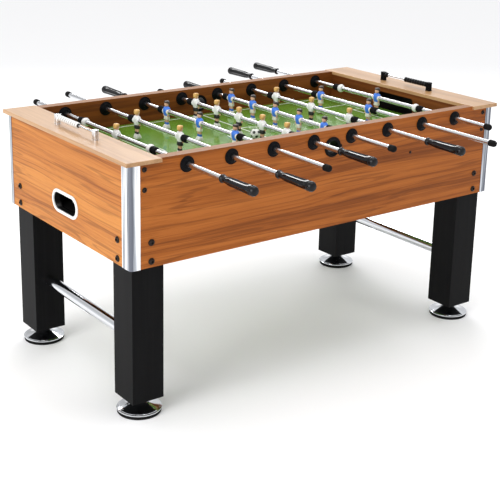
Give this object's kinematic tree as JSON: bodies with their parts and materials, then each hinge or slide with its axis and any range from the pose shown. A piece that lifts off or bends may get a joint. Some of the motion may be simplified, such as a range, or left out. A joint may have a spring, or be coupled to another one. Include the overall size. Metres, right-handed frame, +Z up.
{
  "type": "foosball table",
  "caption": "Table football game: wood-sided cabinet on square legs with sliding, turning rods of players, handles, score beads, ball returns and levelling feet.",
  "frame": {"origin": "on the floor, midway between the four feet", "axes": "+X along the table's long side to the right, +Y away from the near long side, +Z up"},
  "size_m": [1.524, 1.536, 0.848],
  "materials": {
    "ball_white": "gloss",
    "black_gloss": "gloss",
    "black_legs": "satin",
    "black_plastic": "satin",
    "black_rubber": "matt",
    "blue_team": "gloss",
    "chrome_rods": "polished",
    "chrome_trim": "polished",
    "foot_metal": "polished",
    "green_field": "satin",
    "oak_boards": "satin",
    "pale_boards": "satin",
    "raw_wood": "matt",
    "white_plastic": "gloss",
    "white_team": "gloss"
  },
  "bodies": {
    "table": {"side_wall_near": "oak_boards", "side_wall_far": "oak_boards", "end_panel_left": "oak_boards", "end_panel_right": "oak_boards", "goal_walls": "oak_boards", "top_boards": "pale_boards", "playfield": "green_field", "inner_frame": "raw_wood", "corner_guards": "chrome_trim", "legs": "black_legs", "cross_bars": "chrome_trim", "bearings": "black_plastic", "serve_cups": "black_plastic", "return_cups": "white_plastic", "ball_chutes": "black_plastic", "bolts": "chrome_trim", "score_frame_left": "chrome_trim", "score_frame_right": "black_plastic"},
    "rod_1_stops": {"rod_1_bumpers": "black_rubber"},
    "rod_1": {"rod_1_tube": "chrome_rods", "rod_1_men": "white_team", "rod_1_grips": "black_gloss", "rod_1_collars": "white_plastic"},
    "rod_2_stops": {"rod_2_bumpers": "black_rubber"},
    "rod_2": {"rod_2_tube": "chrome_rods", "rod_2_men": "white_team", "rod_2_grips": "black_gloss"},
    "rod_3_stops": {"rod_3_bumpers": "black_rubber"},
    "rod_3": {"rod_3_tube": "chrome_rods", "rod_3_men": "blue_team", "rod_3_grips": "black_gloss"},
    "rod_4_stops": {"rod_4_bumpers": "black_rubber"},
    "rod_4": {"rod_4_tube": "chrome_rods", "rod_4_men": "white_team", "rod_4_grips": "black_gloss"},
    "rod_5_stops": {"rod_5_bumpers": "black_rubber"},
    "rod_5": {"rod_5_tube": "chrome_rods", "rod_5_men": "blue_team", "rod_5_grips": "black_gloss"},
    "rod_6_stops": {"rod_6_bumpers": "black_rubber"},
    "rod_6": {"rod_6_tube": "chrome_rods", "rod_6_men": "white_team", "rod_6_grips": "black_gloss"},
    "rod_7_stops": {"rod_7_bumpers": "black_rubber"},
    "rod_7": {"rod_7_tube": "chrome_rods", "rod_7_men": "blue_team", "rod_7_grips": "black_gloss"},
    "rod_8_stops": {"rod_8_bumpers": "black_rubber"},
    "rod_8": {"rod_8_tube": "chrome_rods", "rod_8_men": "blue_team", "rod_8_grips": "black_gloss", "rod_8_collars": "white_plastic"},
    "beads_left": {"beads_left": "white_plastic"},
    "beads_right_far": {"beads_right_far": "black_gloss"},
    "beads_right_near": {"beads_right_near": "black_gloss"},
    "foot_near_left": {"foot_near_left": "foot_metal"},
    "foot_far_left": {"foot_far_left": "foot_metal"},
    "foot_near_right": {"foot_near_right": "foot_metal"},
    "foot_far_right": {"foot_far_right": "foot_metal"},
    "ball": {"ball": "ball_white"}
  },
  "joints": [
    {"name": "rod_1_slide", "type": "slide", "parent": "table", "child": "rod_1_stops", "axis": [0, 1, 0], "range_m": [-0.1192, 0.1012]},
    {"name": "rod_1_spin", "type": "hinge", "parent": "rod_1_stops", "child": "rod_1", "pos_m": [-0.555, 0, 0.784], "axis": [0, 1, 0], "continuous": true},
    {"name": "rod_2_slide", "type": "slide", "parent": "table", "child": "rod_2_stops", "axis": [0, 1, 0], "range_m": [-0.1902, 0.1582]},
    {"name": "rod_2_spin", "type": "hinge", "parent": "rod_2_stops", "child": "rod_2", "pos_m": [-0.39643, 0, 0.784], "axis": [0, 1, 0], "continuous": true},
    {"name": "rod_3_slide", "type": "slide", "parent": "table", "child": "rod_3_stops", "axis": [0, 1, 0], "range_m": [-0.0925, 0.0942]},
    {"name": "rod_3_spin", "type": "hinge", "parent": "rod_3_stops", "child": "rod_3", "pos_m": [-0.23786, 0, 0.784], "axis": [0, 1, 0], "continuous": true},
    {"name": "rod_4_slide", "type": "slide", "parent": "table", "child": "rod_4_stops", "axis": [0, 1, 0], "range_m": [-0.0442, 0.0402]},
    {"name": "rod_4_spin", "type": "hinge", "parent": "rod_4_stops", "child": "rod_4", "pos_m": [-0.07929, 0, 0.784], "axis": [0, 1, 0], "continuous": true},
    {"name": "rod_5_slide", "type": "slide", "parent": "table", "child": "rod_5_stops", "axis": [0, 1, 0], "range_m": [-0.0155, 0.0382]},
    {"name": "rod_5_spin", "type": "hinge", "parent": "rod_5_stops", "child": "rod_5", "pos_m": [0.07929, 0, 0.784], "axis": [0, 1, 0], "continuous": true},
    {"name": "rod_6_slide", "type": "slide", "parent": "table", "child": "rod_6_stops", "axis": [0, 1, 0], "range_m": [-0.1002, 0.1042]},
    {"name": "rod_6_spin", "type": "hinge", "parent": "rod_6_stops", "child": "rod_6", "pos_m": [0.23786, 0, 0.784], "axis": [0, 1, 0], "continuous": true},
    {"name": "rod_7_slide", "type": "slide", "parent": "table", "child": "rod_7_stops", "axis": [0, 1, 0], "range_m": [-0.1625, 0.1722]},
    {"name": "rod_7_spin", "type": "hinge", "parent": "rod_7_stops", "child": "rod_7", "pos_m": [0.39643, 0, 0.784], "axis": [0, 1, 0], "continuous": true},
    {"name": "rod_8_slide", "type": "slide", "parent": "table", "child": "rod_8_stops", "axis": [0, 1, 0], "range_m": [-0.1072, 0.1132]},
    {"name": "rod_8_spin", "type": "hinge", "parent": "rod_8_stops", "child": "rod_8", "pos_m": [0.555, 0, 0.784], "axis": [0, 1, 0], "continuous": true},
    {"name": "beads_left_slide", "type": "slide", "parent": "table", "child": "beads_left", "axis": [0, -1, 0], "range_m": [0, 0.0934]},
    {"name": "beads_right_far_slide", "type": "slide", "parent": "table", "child": "beads_right_far", "axis": [0, -1, 0], "range_m": [0, 0.0467]},
    {"name": "beads_right_near_slide", "type": "slide", "parent": "table", "child": "beads_right_near", "axis": [0, 1, 0], "range_m": [0, 0.0467]},
    {"name": "foot_near_left_height", "type": "slide", "parent": "table", "child": "foot_near_left", "axis": [0, 0, -1], "range_m": [0, 0.015]},
    {"name": "foot_far_left_height", "type": "slide", "parent": "table", "child": "foot_far_left", "axis": [0, 0, -1], "range_m": [0, 0.015]},
    {"name": "foot_near_right_height", "type": "slide", "parent": "table", "child": "foot_near_right", "axis": [0, 0, -1], "range_m": [0, 0.015]},
    {"name": "foot_far_right_height", "type": "slide", "parent": "table", "child": "foot_far_right", "axis": [0, 0, -1], "range_m": [0, 0.015]},
    {"name": "ball_roll", "type": "slide", "parent": "table", "child": "ball", "axis": [0, 1, 0], "range_m": [-0.288, 0.382]}
  ]
}
